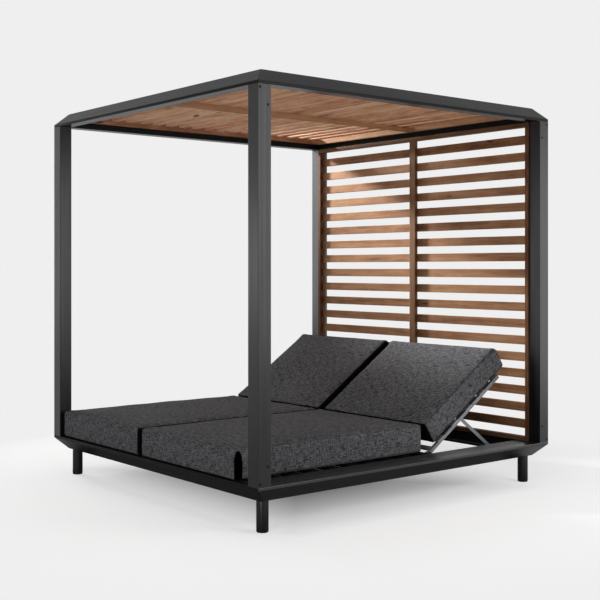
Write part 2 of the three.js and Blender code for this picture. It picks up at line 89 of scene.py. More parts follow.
# %% Camera
camera_data = bpy.data.cameras.new("camera")
camera_data.lens = 64.535
camera_data.sensor_width = 36
camera_data.shift_y = -0.0542
camera = add_object("camera", camera_data)
camera.location = (4.8349, -3.9126, 1.2139)
camera.rotation_euler = (math.radians(90), 0, math.radians(50.816))
scene = bpy.context.scene
scene.camera = camera
scene.view_settings.view_transform = "Standard"
print("camera at", tuple(round(value, 3) for value in camera.location))


# %% [markdown]
# A finish is a small network of shader nodes. A few helpers keep the networks short to
# read: one adds a node and fills in its inputs, with a number or with another node's
# output, and one starts a finish with the shader that all of them end in.

# %% Helpers for finishes
def add_node(tree, kind, inputs=None, **settings):
    made = tree.nodes.new("ShaderNode" + kind)
    for key, value in settings.items():
        setattr(made, key, value)
    for key, value in (inputs or {}).items():
        if isinstance(value, bpy.types.NodeSocket):
            tree.links.new(value, made.inputs[key])
        else:
            made.inputs[key].default_value = value
    return made


def math_node(tree, operation, *values):
    return add_node(tree, "Math", dict(enumerate(values)), operation=operation).outputs[0]


def new_finish(name):
    finish = bpy.data.materials.new(name)
    finish.use_nodes = True
    tree = finish.node_tree
    tree.nodes.clear()
    shader = add_node(tree, "BsdfPrincipled")
    add_node(tree, "OutputMaterial", {"Surface": shader.outputs["BSDF"]})
    return finish, tree, shader


def add_bump(tree, shader, height, strength, depth):
    bump = add_node(tree, "Bump", {"Strength": strength, "Distance": depth, "Height": height})
    tree.links.new(bump.outputs[0], shader.inputs["Normal"])


# %% [markdown]
# Colours are given as they look on screen, and a colour can be made darker, lighter or
# tinted. Where two colours meet, a noise or another pattern decides how much of each shows.

# %% Helpers for colours
def linear(*srgb):
    """A colour as seen on screen, 0 to 255, as the light it reflects."""
    return [((c / 255 + 0.055) / 1.055) ** 2.4 for c in srgb] + [1]


def shade(colour, factor, tint=(1, 1, 1)):
    return [min(1, c * factor * t) for c, t in zip(colour, tint)] + [1]


def blend_colours(tree, factor, first, second):
    made = add_node(tree, "Mix", {0: factor, 6: first, 7: second}, data_type="RGBA")
    return made.outputs[2]


# %% [markdown]
# Noise is the pattern behind every finish here. It is stretched by giving each direction
# its own scale. Its values bunch around a half, so they are spread over the range that a
# finish needs, and several noises are added up by their weights.

# %% Helpers for patterns
noise_low, noise_high = 0.3, 0.7


def streaks(tree, place, scale, detail=4.0, roughness=0.6, distortion=0.0):
    """Noise that is stretched by giving each direction its own scale, per metre."""
    mapped = add_node(tree, "Mapping", {"Vector": place, "Scale": scale})
    made = add_node(
        tree,
        "TexNoise",
        {
            "Vector": mapped.outputs[0],
            "Scale": 1.0,
            "Detail": detail,
            "Roughness": roughness,
            "Distortion": distortion,
        },
    )
    return made.outputs["Fac"]


def spread(tree, value, low, high, to_low=0.0, to_high=1.0):
    made = add_node(
        tree,
        "MapRange",
        {"Value": value, "From Min": low, "From Max": high, "To Min": to_low, "To Max": to_high},
    )
    return made.outputs[0]


def spread_noise(tree, value, to_low=0.0, to_high=1.0):
    return spread(tree, value, noise_low, noise_high, to_low, to_high)


def weighted_sum(tree, parts, total=0.0):
    for value, weight in parts:
        total = math_node(tree, "MULTIPLY_ADD", value, weight, total)
    return total


# %% [markdown]
# ## The black frame
# The rails, posts, beams and legs are aluminium with a powder coat. The coat is baked on as
# a fine dust, so it is never quite smooth: it has a tiny orange peel, and long soft streaks
# from the extruded metal below it show in a raking light. Noise that is stretched along the
# piece makes the streaks, so a post, a side rail and an end rail each need a finish whose
# streaks follow their own length. Finer noise gives the bump.
#
# How strongly the coat mirrors is matched to the picture, place by place: most on the lip
# of the side rails, the ledge and the posts, and least on the rails at the ends.

# %% Powder coat
across_streaks, along_streaks = 55, 1.1


def powder_coat(name, colour, roughness, length_axis, shine):
    finish, tree, shader = new_finish(name)
    place = add_node(tree, "TexCoord").outputs["Object"]
    scale = [across_streaks] * 3
    scale["XYZ".index(length_axis)] = along_streaks
    drawn = streaks(tree, place, scale, detail=3)
    cloudy = streaks(tree, place, (3, 3, 3), detail=2)
    tone = math_node(tree, "ADD", spread_noise(tree, drawn, -0.5, 0.5), cloudy)
    share_of_light = spread(tree, tone, 0.0, 1.0)
    mixed = blend_colours(tree, share_of_light, shade(colour, 0.75), shade(colour, 1.3))
    tree.links.new(mixed, shader.inputs["Base Color"])
    gloss = spread_noise(tree, drawn, roughness - 0.05, roughness + 0.06)
    tree.links.new(gloss, shader.inputs["Roughness"])
    peel = streaks(tree, place, (900, 900, 900), detail=2)
    add_bump(tree, shader, peel, 0.12, 0.0004)
    shader.inputs["Specular IOR Level"].default_value = shine
    return finish


coat = linear(17, 18, 19)
shine_of = {"X": 0.06, "Y": 0.10, "Z": 0.33}
frame_finish = {
    axis: powder_coat("frame_black_" + axis.lower(), coat, 0.32, axis, shine)
    for axis, shine in shine_of.items()
}
ledge_finish = powder_coat("ledge_black", coat, 0.36, "Y", 0.34)
lip_finish = powder_coat("side_rail_black", coat, 0.30, "Y", 0.52)
bracket_black = powder_coat("bracket_black", linear(16, 17, 18), 0.5, "Y", 0.1)
# the seat deck is near black, darker than the coat: painted shade under the pads
deck_black_painted_shade = powder_coat("deck_black_painted_shade", linear(8, 8, 9), 0.6, "X", 0.04)
print("directions of the frame's streaks:", sorted(frame_finish))


# %% [markdown]
# ## Wood
# The roof and the back panel are oiled hardwood slats. A board shows three things: long
# grain that follows its length, a tone of its own, because no two boards are cut from the
# same place, and now and then a knot. The grain is a sum of broad bands, a finer figure,
# fine fibres and soft patches, and the board's own tone is added to it.

# %% Board grain
def board_grain(tree, vector, number):
    """For a board that runs along its first axis: its colour factor, fine fibres and place."""
    random = add_node(tree, "TexWhiteNoise", {"W": number}, noise_dimensions="1D")
    shift = add_node(
        tree,
        "VectorMath",
        {0: random.outputs["Color"], 1: (9.0, 9.0, 9.0)},
        operation="MULTIPLY",
    )
    moved = add_node(tree, "VectorMath", {0: vector, 1: shift.outputs[0]}, operation="ADD")
    place = moved.outputs[0]
    broad = streaks(tree, place, (1.6, 22, 22), detail=3, distortion=0.6)
    figure = streaks(tree, place, (5, 90, 90), detail=5, roughness=0.65)
    fibres = streaks(tree, place, (22, 520, 520), detail=3, roughness=0.7)
    patches = streaks(tree, place, (9, 9, 9), detail=2)
    weights = ((broad, 0.30), (figure, 0.26), (fibres, 0.14), (patches, 0.12))
    grain = weighted_sum(tree, [(spread_noise(tree, part), weight) for part, weight in weights])
    own_tone = (random.outputs["Value"], 0.26)
    return weighted_sum(tree, [own_tone], grain), fibres, place


# %% [markdown]
# The slats of a panel are one piece in the model, so the finish counts boards by their place: it
# divides the distance up the panel by the pitch and gives each whole number its own random tone
# and its own piece of grain. The uprights at the sides, the stiles, are found by their distance
# from the middle, and get grain that runs upright and a painted shade that darkens them.

# %% Count the boards of a panel
stile_numbers = 50.0
stile_number_step = 3.0


def place_on_board(tree, axes, along, up, across):
    return add_node(tree, "CombineXYZ", {0: axes[along], 1: axes[up], 2: axes[across]}).outputs[0]


def count_boards(tree, axes, order, pitch, start, stile_at):
    """At each spot of a panel: 1 on a stile, else 0, the board's number, and the place on it."""
    along, up, across = order
    height = math_node(tree, "SUBTRACT", axes[up], start)
    count = math_node(tree, "FLOOR", math_node(tree, "DIVIDE", height, pitch))
    is_stile = math_node(tree, "GREATER_THAN", math_node(tree, "ABSOLUTE", axes[along]), stile_at)
    side = math_node(tree, "SIGN", axes[along])
    stile = math_node(tree, "MULTIPLY_ADD", side, stile_number_step, stile_numbers)
    number = add_node(tree, "Mix", {0: is_stile, 2: count, 3: stile}, data_type="FLOAT")
    on_slat = place_on_board(tree, axes, along, up, across)
    on_stile = place_on_board(tree, axes, up, along, across)
    vector = add_node(tree, "Mix", {0: is_stile, 4: on_slat, 5: on_stile}, data_type="VECTOR")
    return is_stile, number.outputs[0], vector.outputs[1]


# %% Wood finish
knot_brown = linear(96, 60, 40)
wood_stops = (
    (0.18, linear(112, 74, 50)),
    (0.50, linear(176, 126, 88)),
    (0.86, linear(212, 163, 121)),
)


def wood(
    name, along, up, pitch=None, start=0.0, stile_at=None, seed=0.0,
    pale=1.0, stile_painted_shade=0.0, tint=(1, 1, 1),
):
    """along and up are 'X', 'Y' or 'Z'. With a pitch, boards are counted along up from start, and
    past stile_at from the middle the grain turns to run along up, under a painted shade that
    darkens the stiles."""
    finish, tree, shader = new_finish(name)
    order = (along, up, ({"X", "Y", "Z"} - {along, up}).pop())
    axes = add_node(tree, "SeparateXYZ", {0: add_node(tree, "TexCoord").outputs["Object"]}).outputs
    if pitch:
        is_stile, count, vector = count_boards(tree, axes, order, pitch, start, stile_at)
        factor, fibres, place = board_grain(tree, vector, math_node(tree, "ADD", count, seed))
        # the stiles are made darker here: painted shade
        factor = weighted_sum(tree, [(is_stile, -stile_painted_shade)], factor)
    else:
        factor, fibres, place = board_grain(tree, place_on_board(tree, axes, *order), seed)
    ramp = add_node(tree, "ValToRGB", {"Fac": factor})
    stops = ramp.color_ramp.elements
    stops.new(0.5)
    for stop, (position, colour) in zip(stops, wood_stops):
        stop.position = position
        stop.color = shade(colour, pale, tint)
    stretched = add_node(tree, "Mapping", {"Vector": place, "Scale": (2.2, 9, 9)})
    cells = add_node(tree, "TexVoronoi", {"Vector": stretched.outputs[0], "Scale": 1.0})
    knot = spread(tree, cells.outputs["Distance"], 0.05, 0.09, 1.0, 0.0)
    coloured = blend_colours(tree, knot, ramp.outputs["Color"], knot_brown)
    tree.links.new(coloured, shader.inputs["Base Color"])
    tree.links.new(spread_noise(tree, fibres, 0.72, 0.52), shader.inputs["Roughness"])
    shader.inputs["Specular IOR Level"].default_value = 0.08
    add_bump(tree, shader, fibres, 0.25, 0.0005)
    return finish


# %% [markdown]
# The pitch and the first gap of each panel are measured from the model's own boxes, so the
# counting starts half a gap below the first slat. The roof is paler and greyer than the back
# panel: the grey is its own tone, and part of the paleness is painted light, as its underside gets
# little light from below. The battens and rails are darker than the slats that they hold, on the
# back panel partly by their own tone and partly by painted shade.

# %% Finish the panels
slat = 0.050
stile_width = 0.0242
roof_low, roof_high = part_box("roof_slats")
back_low, back_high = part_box("back_slats")
bottom_rail_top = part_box("back_bottom_rail")[1].z
roof_count, back_count = 19, 18
# part of the roof's paleness is painted light, for the light its underside lacks from below
roof_tone_and_painted_light, roof_tint = 1.86, (1.0, 1.06, 1.32)
roof_rail_pale = 0.85
back_pale = 0.64
# the back panel's battens and rails are darkened, partly their own tone and partly painted shade
back_rail_tone_and_painted_shade = 0.34
roof_pitch = (roof_high.y - roof_low.y - roof_count * slat) / (roof_count + 1) + slat
back_pitch = (back_high.z - bottom_rail_top - back_count * slat) / (back_count + 1) + slat
print("pitch of the slats:", round(roof_pitch, 4), round(back_pitch, 4))
wood_of = {
    "roof_slats": wood(
        "roof_wood", "X", "Y", roof_pitch, roof_low.y + (roof_pitch - slat) / 2,
        roof_high.x - stile_width, seed=3.0, stile_painted_shade=0.40, pale=roof_tone_and_painted_light, tint=roof_tint,
    ),
    "back_slats": wood(
        "back_wood", "X", "Z", back_pitch, bottom_rail_top + (back_pitch - slat) / 2,
        back_high.x - stile_width, seed=21.0, stile_painted_shade=0.42, pale=back_pale,
    ),
    "roof_batten": wood("roof_batten_wood", "Y", "X", seed=5.5, pale=roof_rail_pale),
    "back_batten": wood("back_batten_wood", "Z", "X", seed=7.5, pale=back_rail_tone_and_painted_shade),
    "roof_end_rail_front": wood("roof_front_wood", "X", "Z", seed=9.5, pale=roof_rail_pale),
    "roof_end_rail_back": wood("roof_back_wood", "X", "Z", seed=11.5, pale=roof_rail_pale),
    "back_top_rail": wood("back_top_wood", "X", "Z", seed=13.5, pale=back_rail_tone_and_painted_shade),
    "back_bottom_rail": wood("back_bottom_wood", "X", "Z", seed=15.5, pale=back_rail_tone_and_painted_shade),
}


# %% [markdown]
# ## Bright metal and plastic
# The backrest frames and stays are plain metal with a thin grey lacquer, the hinge pins are
# bare steel, and the runners and glides are moulded plastic. They differ mostly in how
# sharply they reflect, so they share one function.

# %% Metal and plastic
def smooth_finish(
    name, colour, roughness, metallic, along=(40, 40, 40), grain=0.1, shine=0.5,
):
    finish, tree, shader = new_finish(name)
    place = add_node(tree, "TexCoord").outputs["Object"]
    drawn = streaks(tree, place, along, detail=4)
    mixed = blend_colours(tree, spread_noise(tree, drawn), shade(colour, 0.8), shade(colour, 1.2))
    tree.links.new(mixed, shader.inputs["Base Color"])
    gloss = spread_noise(tree, drawn, roughness + grain, roughness - grain)
    tree.links.new(gloss, shader.inputs["Roughness"])
    add_bump(tree, shader, drawn, 0.08, 0.0002)
    shader.inputs["Metallic"].default_value = metallic
    shader.inputs["Specular IOR Level"].default_value = shine
    return finish


lacquered_grey = smooth_finish("lacquered_grey", linear(134, 135, 137), 0.42, 0.4, (600, 6, 6))
bare_steel = smooth_finish("bare_steel", linear(170, 172, 175), 0.28, 0.95, (30, 700, 700))
moulded_black = smooth_finish("moulded_black", linear(26, 26, 27), 0.55, 0.0, (90, 90, 90), 0.06)
screw_black = smooth_finish(
    "screw_black", linear(5, 5, 6), 0.6, 0.0, (500, 500, 500), shine=0.1,
)

# %% [markdown]
# ## Soft edges on the rigid pieces
# No real edge is knife sharp: sawn wood is sanded and extrusions have a small radius, and
# that thin rounded band is what catches the light. The model's triangles are loose, so a
# Weld modifier joins them first, and a Bevel modifier then rounds only the sharp edges.

# %% Dress the model's own pieces
edge_of = {"wood": 0.0015, "frame": 0.0018, "thin": 0.0006}
weld_distance = 0.00002
sharp_angle = math.radians(40)


def soften(piece, radius):
    weld = piece.modifiers.new("join_corners", "WELD")
    weld.merge_threshold = weld_distance
    bevel = piece.modifiers.new("soft_edges", "BEVEL")
    bevel.width = radius
    bevel.segments = 2
    bevel.limit_method = "ANGLE"
    bevel.angle_limit = sharp_angle


def finish_for(name):
    if name in wood_of:
        return wood_of[name], edge_of["wood"]
    if name.startswith(("backrest_frame", "stay_arm")):
        return lacquered_grey, edge_of["thin"]
    if name.startswith("hinge_pin"):
        return bare_steel, None
    if name.startswith(("stay_axle", "glide")):
        return moulded_black, None
    if name.startswith("seat_deck"):
        return deck_black_painted_shade, None
    if name.startswith(("hinge_bracket", "guide_rail", "hinge_beam")):
        return bracket_black, None
    if name.startswith("side_beam"):
        return ledge_finish, edge_of["frame"]
    if name in ("base_rail_left", "base_rail_right"):
        return lip_finish, edge_of["frame"]
    if name.startswith(("post", "leg")):
        return frame_finish["Z"], edge_of["frame"]
    if name.endswith(("rail_front", "rail_back")):
        return frame_finish["X"], edge_of["frame"]
    return frame_finish["Y"], edge_of["frame"]


for name, piece in frame["nodes"].items():
    finish, radius = finish_for(name)
    piece.data.materials.clear()
    piece.data.materials.append(finish)
    if radius:
        soften(piece, radius)
print("pieces dressed:", len(frame["nodes"]))

# %% [markdown]
# ## Screws
# Small socket screws hold the posts to the rings: two in the outer side face near each end,
# one low at the outer edge and one higher at the inner edge, and on the posts at the foot
# end one more in the face that looks into the bed. Each is a low button with a round
# socket. A disc is made with operators: filled, extruded and bevelled at its rim, and its
# top is inset and pushed in.

# %% Screw heads
screw_radius = 0.0060
screw_proud = 0.0012
screw_sides = 24
rim_round = screw_proud * 0.6
rim_width = screw_radius * 0.35
socket_depth = 0.0009


def screw_head(parts, place, facing):
    """Adds one screw head whose base sits at place and whose top looks along facing."""
    bm = bmesh.new()
    bmesh.ops.create_circle(bm, cap_ends=True, radius=screw_radius, segments=screw_sides)
    top = bmesh.ops.extrude_face_region(bm, geom=list(bm.faces))
    raised = [v for v in top["geom"] if isinstance(v, bmesh.types.BMVert)]
    bmesh.ops.translate(bm, verts=raised, vec=(0, 0, screw_proud))
    bmesh.ops.recalc_face_normals(bm, faces=bm.faces)
    rim = [e for e in bm.edges if all(v.co.z > screw_proud / 2 for v in e.verts)]
    round_edges(bm, rim, rim_round, 3)
    lid = max(bm.faces, key=lambda f: (f.calc_center_median().z, f.calc_area()))
    bmesh.ops.inset_region(bm, faces=[lid], thickness=rim_width, depth=0)
    bmesh.ops.translate(bm, verts=lid.verts, vec=(0, 0, -socket_depth))
    turn = Vector((0, 0, 1)).rotation_difference(facing).to_matrix().to_4x4()
    bmesh.ops.transform(bm, matrix=Matrix.Translation(place) @ turn, verts=bm.verts)
    parts.append(as_mesh("screw", bm))


def merged_piece(name, meshes, finish, body):
    bm = bmesh.new()
    for mesh in meshes:
        bm.from_mesh(mesh)
        bpy.data.meshes.remove(mesh)
    joined = as_mesh(name, bm)
    joined.materials.append(finish)
    made = add_object(name, joined)
    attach(made, body)
    return made


# %% Place the screws
low_inset, low_rise = 0.0115, 0.016
high_inset, high_rise = 0.018, 0.092
inner_face_inset = 0.019
screw_meshes = []
for corner in ("front_left", "front_right", "back_left", "back_right"):
    low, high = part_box("post_" + corner)
    x_sign = 1 if corner.endswith("right") else -1
    y_sign = 1 if corner.startswith("back") else -1
    x_out = high.x if x_sign > 0 else low.x
    y_out, y_in = (high.y, low.y) if y_sign > 0 else (low.y, high.y)
    for end, way in ((low.z, 1), (high.z, -1)):
        side_face = Vector((x_sign, 0, 0))
        low_spot = (x_out, y_out - y_sign * low_inset, end + way * low_rise)
        high_spot = (x_out, y_in + y_sign * high_inset, end + way * high_rise)
        screw_head(screw_meshes, low_spot, side_face)
        screw_head(screw_meshes, high_spot, side_face)
        if y_sign < 0:
            inner_spot = (x_out - x_sign * inner_face_inset, y_in, end + way * high_rise)
            screw_head(screw_meshes, inner_spot, Vector((0, 1, 0)))
screw_count = len(screw_meshes)
merged_piece("post_screws", screw_meshes, screw_black, "frame")
print("screws:", screw_count)


# %% [markdown]
# ## Cloth for the pads
# The covers are a heather weave: yarns of two greys, so that light and dark threads show as
# short streaks along the weave. The pattern has to follow each face of a pad, whatever way
# the pad leans, so the pads carry a UV map in metres. Two stretched noises stand for the
# thick yarns that show from afar, two finer ones for the thin yarns between them, a broad
# one for wear, and a fine wave gives the bump of the weave. Cloth hardly shines, so its
# reflection is turned nearly off, which keeps the flat tops as dark as the sides.
#
# The thread of the seams and the mesh underneath are plain, and so is the near-black painted shade
# in the fold and on the hidden sides.

# %% Heather weave
cloth_shine = 0.03
bump_waves = 2600.0


def heather(name, dark, light):
    finish, tree, shader = new_finish(name)
    weave = add_node(tree, "UVMap", uv_map="weave").outputs["UV"]
    thick_weft = streaks(tree, weave, (24, 200, 1), detail=1)
    thick_warp = streaks(tree, weave, (200, 28, 1), detail=1)
    weft = streaks(tree, weave, (60, 360, 1), detail=3, roughness=0.7)
    warp = streaks(tree, weave, (360, 66, 1), detail=3, roughness=0.7)
    worn = streaks(tree, weave, (3, 3, 1), detail=2)
    weights = ((thick_weft, 0.25), (thick_warp, 0.23), (weft, 0.25), (warp, 0.23), (worn, 0.04))
    tone = weighted_sum(tree, [(spread_noise(tree, part), weight) for part, weight in weights])
    tree.links.new(
        blend_colours(tree, spread_noise(tree, tone), dark, light), shader.inputs["Base Color"],
    )
    shader.inputs["Roughness"].default_value = 0.95
    shader.inputs["Specular IOR Level"].default_value = cloth_shine
    shader.inputs["Sheen Weight"].default_value = cloth_shine
    shader.inputs["Sheen Roughness"].default_value = 0.5
    axes = add_node(tree, "SeparateXYZ", {0: weave}).outputs
    over, under = (
        math_node(tree, "SINE", math_node(tree, "MULTIPLY", axes[axis], bump_waves))
        for axis in ("X", "Y")
    )
    threads = weighted_sum(tree, [(math_node(tree, "MULTIPLY", over, under), 0.5)], weft)
    add_bump(tree, shader, threads, 0.25, 0.0005)
    return finish


heather_grey = heather("heather_grey", linear(37, 37, 39), linear(129, 129, 132))
seam_thread = smooth_finish("seam_thread", linear(22, 21, 23), 0.9, 0.0, (400, 400, 400), 0.05)
black_mesh_and_painted_shade = smooth_finish(
    "black_mesh_and_painted_shade", linear(9, 9, 10), 0.9, 0.0, (700, 700, 700), 0.05, shine=0.05,
)
pleat_painted_shade = smooth_finish(
    "pleat_painted_shade", linear(3, 3, 3), 0.95, 0.0, (300, 300, 300), 0.03, shine=0.0,
)

# %% [markdown]
# ## Pads
# A pad is a foam block in a sewn cover. The block starts as a cube with bevelled edges, a
# little smaller than the finished pad. It is remeshed evenly, so that cloth can move in all
# directions, and then blown up gently in a cloth simulation, with no point allowed to move
# far. That gives the crown on top and the slack near the corners that sewn covers have.
# The two seat pads are the same shape, and so are the two backrest pads, so each shape is
# simulated once, and turned over for the other side.
#
# A soft cover stands a few millimetres proud of its plain solid where nothing is near it:
# at the free side, and at the far end of a backrest. The sides that face the other pad
# stand as far apart as the dark gap between the pads shows.

# %% Pad sizes
recline = next(
    joint for joint in frame["record"]["behaviour"]["joints"]
    if joint["name"] == "backrest_right_recline"
)
hinge = Vector((0, *recline["pos_m"][1:]))
rest_angle = -math.radians(recline["range_deg"][0])
leaning = Matrix.Translation(hinge) @ Matrix.Rotation(rest_angle, 4, "X")

solid_of = {"seat": "seat_pad_", "back": "backrest_pad_"}
axes_of = {"seat": Matrix(), "back": leaning}
crown_of = {"seat": 0.013, "back": 0.010}
foam_round = 0.009
far_round_of = {"seat": foam_round, "back": 0.028}
proud_far_end_of = {"seat": 0.0, "back": 0.009}
proud_outside = {-1: 0.009, 1: 0.002}
proud_inside = {-1: -0.001, 1: 0.010}


def own_points(node, axes):
    """The points of a node in its own axes."""
    return [axes.inverted() @ v.co for v in frame["nodes"][node].data.vertices]


def own_box(node, axes):
    turned = own_points(node, axes)
    low = Vector(min(p[axis] for p in turned) for axis in range(3))
    high = Vector(max(p[axis] for p in turned) for axis in range(3))
    return low, high


def added_width(side):
    return proud_outside[side] + proud_inside[side]


size_of = {}
for kind in ("seat", "back"):
    low, high = own_box(solid_of[kind] + "right", axes_of[kind])
    size = high - low - Vector((0, 0, crown_of[kind]))
    size.x += added_width(1)
    size.y += proud_far_end_of[kind]
    size_of[kind] = size
    print(kind, "pad:", [round(s, 3) for s in size])

# %% Foam block
swell = 0.004


def foam_block(name, size, far_round):
    """A rounded block in the pad's own axes: x across, y along, z up from its underside."""
    bm = bmesh.new()
    bmesh.ops.create_cube(bm, size=1)
    inner = (size.x - 2 * swell, size.y - 2 * swell, size.z - swell)
    bmesh.ops.scale(bm, vec=inner, verts=bm.verts)
    bmesh.ops.translate(bm, vec=(0, 0, (size.z - swell) / 2), verts=bm.verts)
    if far_round > foam_round:
        top_end = [
            e for e in bm.edges
            if all(v.co.y > 0 and v.co.z > size.z / 2 for v in e.verts)
        ]
        round_edges(bm, top_end, far_round, 6)
    sharp = [e for e in bm.edges if e.calc_face_angle() > sharp_angle]
    round_edges(bm, sharp, foam_round, 4)
    return add_object(name, as_mesh(name, bm))


# %% [markdown]
# A short simulation is enough: the pressure pushes the cover out within a few frames, and
# no point may end farther from its start than the cap.

# %% Blow up a pad
even_size = 0.008
air_pressure = 4
cloth_frames = 16


def apply_modifiers(piece):
    graph = bpy.context.evaluated_depsgraph_get()
    shaped = bpy.data.meshes.new_from_object(piece.evaluated_get(graph))
    piece.modifiers.clear()
    old = piece.data
    piece.data = shaped
    bpy.data.meshes.remove(old)


def blow_up(piece, cap):
    """Cloth with air pressure, run for a few frames, each point held within cap of its start."""
    even = piece.modifiers.new("even", "REMESH")
    even.mode = "VOXEL"
    even.voxel_size = even_size
    apply_modifiers(piece)
    start = [v.co.copy() for v in piece.data.vertices]
    cloth = piece.modifiers.new("air", "CLOTH")
    cloth.settings.use_pressure = True
    cloth.settings.uniform_pressure_force = air_pressure
    cloth.settings.quality = 4
    cloth.settings.effector_weights.gravity = 0
    cloth.point_cache.frame_start = 1
    cloth.point_cache.frame_end = cloth_frames
    for step in range(1, cloth_frames + 1):
        scene.frame_set(step)
    apply_modifiers(piece)
    scene.frame_set(1)
    for vertex, old in zip(piece.data.vertices, start):
        move = vertex.co - old
        if move.length > cap:
            vertex.co = old + move.normalized() * cap


# %% [markdown]
# After the simulation each pad is trued up like a sewn cover: the sides are drawn in
# between the corners, the top keeps a low crown with a few shallow hollows, and nothing
# hangs below the deck.

# %% True up the cover
draw_in = 0.005
hollow_depth = 0.0022
hollows_per_metre = 7
lowest = 0.0002


def share(value, half):
    return max(0.0, 1 - (value / half) ** 2)


def true_up(piece, size, crown, seed):
    half = size / 2
    for vertex in piece.data.vertices:
        p = vertex.co
        across = share(p.x, half.x)
        along = share(p.y, half.y)
        up = share(p.z - half.z, half.z)
        spot = Vector((p.x * hollows_per_metre, p.y * hollows_per_metre, seed))
        hollow = noise.noise(spot) * hollow_depth
        p.x -= math.copysign(draw_in * along * up * (1 - across), p.x)
        p.y -= math.copysign(draw_in * across * up * (1 - along), p.y)
        if p.z > half.z:
            p.z += (crown * across * along + hollow) * (p.z / half.z - 1)
        p.x = max(-half.x, min(half.x, p.x))
        p.y = max(-half.y, min(half.y, p.y))
        p.z = max(lowest, p.z)


# %% [markdown]
# Covers like these have a black mesh underneath, where water drains from the foam. The same black
# is painted, as painted shade, on the sides that another pad stands against and at the hinge end
# of a backrest, which keeps the gaps between the pads dark.

# %% Linings, painted shade and the weave's map
mesh_and_painted_shade_index, pleat_painted_shade_index = 1, 2
facing = 0.7
lining_edge = 0.0045
lining_below_top = 0.006
metres_between_panels = 3


def mesh_and_paint_shade_on_hidden_faces(piece, kind, side, size):
    """Black mesh underneath, and painted shade in the same black on the side that looks to the
    other pad and at the hinge.
    """
    piece.data.materials.append(black_mesh_and_painted_shade)
    for face in piece.data.polygons:
        centre, normal = face.center, face.normal
        below = normal.z < -facing and centre.z < lining_edge
        # the inner side and the hinge end get the black as painted shade
        inner = normal.x * side < -facing and centre.z < size.z - lining_below_top
        at_hinge = normal.y < -facing and centre.y < -size.y / 2 + 3 * lining_edge
        if below or inner or (kind == "back" and at_hinge):
            face.material_index = mesh_and_painted_shade_index


def weave_map(piece):
    """A UV map in metres, laid on each face from the side that it looks to."""
    bm = bmesh.new()
    bm.from_mesh(piece.data)
    layer = bm.loops.layers.uv.new("weave")
    bm.normal_update()
    apart = metres_between_panels
    for face in bm.faces:
        steep = [abs(part) for part in face.normal]
        lead = steep.index(max(steep))
        for loop in face.loops:
            p = loop.vert.co
            loop[layer].uv = ((p.y, p.z), (p.x, p.z + apart), (p.x, p.y + 2 * apart))[lead]
        face.smooth = True
    bm.to_mesh(piece.data)
    bm.free()


# %% [markdown]
# The cover is cut from one long strip, over the front, the top and the back, and two side
# panels. So a seam runs round each side panel, just inside the edge. It is drawn as a loop
# of points off the edge, dropped on to the cover, and given a thin section, and the cover
# beside it is pulled in so that the thread lies in a crease. The backrest pads have the
# thicker thread and the deeper crease.

# %% Seams
seam_inset = 0.0035
seam_step = 0.006
bend_steps = 6
thread_radius_of = {"seat": 0.0011, "back": 0.0017}
crease_width_of = {"seat": 0.0042, "back": 0.0062}
crease_depth_of = {"seat": 0.0020, "back": 0.0042}
thread_sunk = 0.75


def seam_path(size, side, bend, far_bend):
    """Points round a side panel, side -1 or 1. far_bend is the bend at its upper far corner."""
    half = size.y / 2 - seam_inset
    low, high = seam_inset, size.z - seam_inset
    x = side * (size.x / 2 - seam_inset)
    corners = (
        (half, high, far_bend, 0),
        (-half, high, bend, 90),
        (-half, low, bend, 180),
        (half, low, bend, 270),
    )
    points = []
    for y, z, radius, turn in corners:
        centre_y = y - math.copysign(radius, y)
        centre_z = z - radius if z == high else z + radius
        for step in range(bend_steps + 1):
            angle = math.radians(turn + 90 * step / bend_steps)
            round_y, round_z = radius * math.cos(angle), radius * math.sin(angle)
            points.append(Vector((x, centre_y + round_y, centre_z + round_z)))
    dense = []
    for start, end in zip(points, points[1:] + points[:1]):
        pieces = max(1, round((end - start).length / seam_step))
        dense += [start.lerp(end, i / pieces) for i in range(pieces)]
    return dense


def drop_on(piece, path):
    """The nearest spots on the cover, each with its outward direction."""
    tree = BVHTree.FromObject(piece, bpy.context.evaluated_depsgraph_get())
    return [tree.find_nearest(point)[:2] for point in path]


def crease(piece, spots, depth, width):
    """Pulls the cover in beside the seam."""
    near = KDTree(len(spots))
    for i, (spot, _) in enumerate(spots):
        near.insert(spot, i)
    near.balance()
    for vertex in piece.data.vertices:
        _, index, distance = near.find(vertex.co)
        if distance < 3 * width:
            pull = depth * math.exp(-((distance / width) ** 2))
            vertex.co -= spots[index][1] * pull
            vertex.co.z = max(lowest, vertex.co.z)


def thread_along(name, spots, sunk, closed, radius):
    curve = bpy.data.curves.new(name, "CURVE")
    curve.dimensions = "3D"
    curve.bevel_depth = radius
    curve.bevel_resolution = 1
    curve.use_fill_caps = True
    line = curve.splines.new("POLY")
    line.points.add(len(spots) - 1)
    for place, (spot, normal) in zip(line.points, spots):
        place.co = (*(spot - normal * sunk), 1)
    line.use_cyclic_u = closed
    drawn = add_object(name + "_line", curve)
    graph = bpy.context.evaluated_depsgraph_get()
    mesh = bpy.data.meshes.new_from_object(drawn.evaluated_get(graph))
    bpy.data.objects.remove(drawn)
    return mesh


# %% [markdown]
# At the front outer corner of the right seat pad the cover has a deep fold, where the two panels
# gape and a dark hollow shows between them. The corner of the fine mesh is pushed in along the
# diagonal, inside an outline like an almond, and the faces that line the hollow are painted near
# black, as painted shade for its dark inside.

# %% Pleat
pleated_pad = "seat_cushion_right"
pleat_centre = 0.009
pleat_half_width = 0.0205
pleat_depth = 0.055
pleat_top = 0.138
pleat_wall = 0.30
pleat_foot, pleat_bulge = 0.80, 0.28
pleat_top_power = 6
painted_shade_from = 0.12


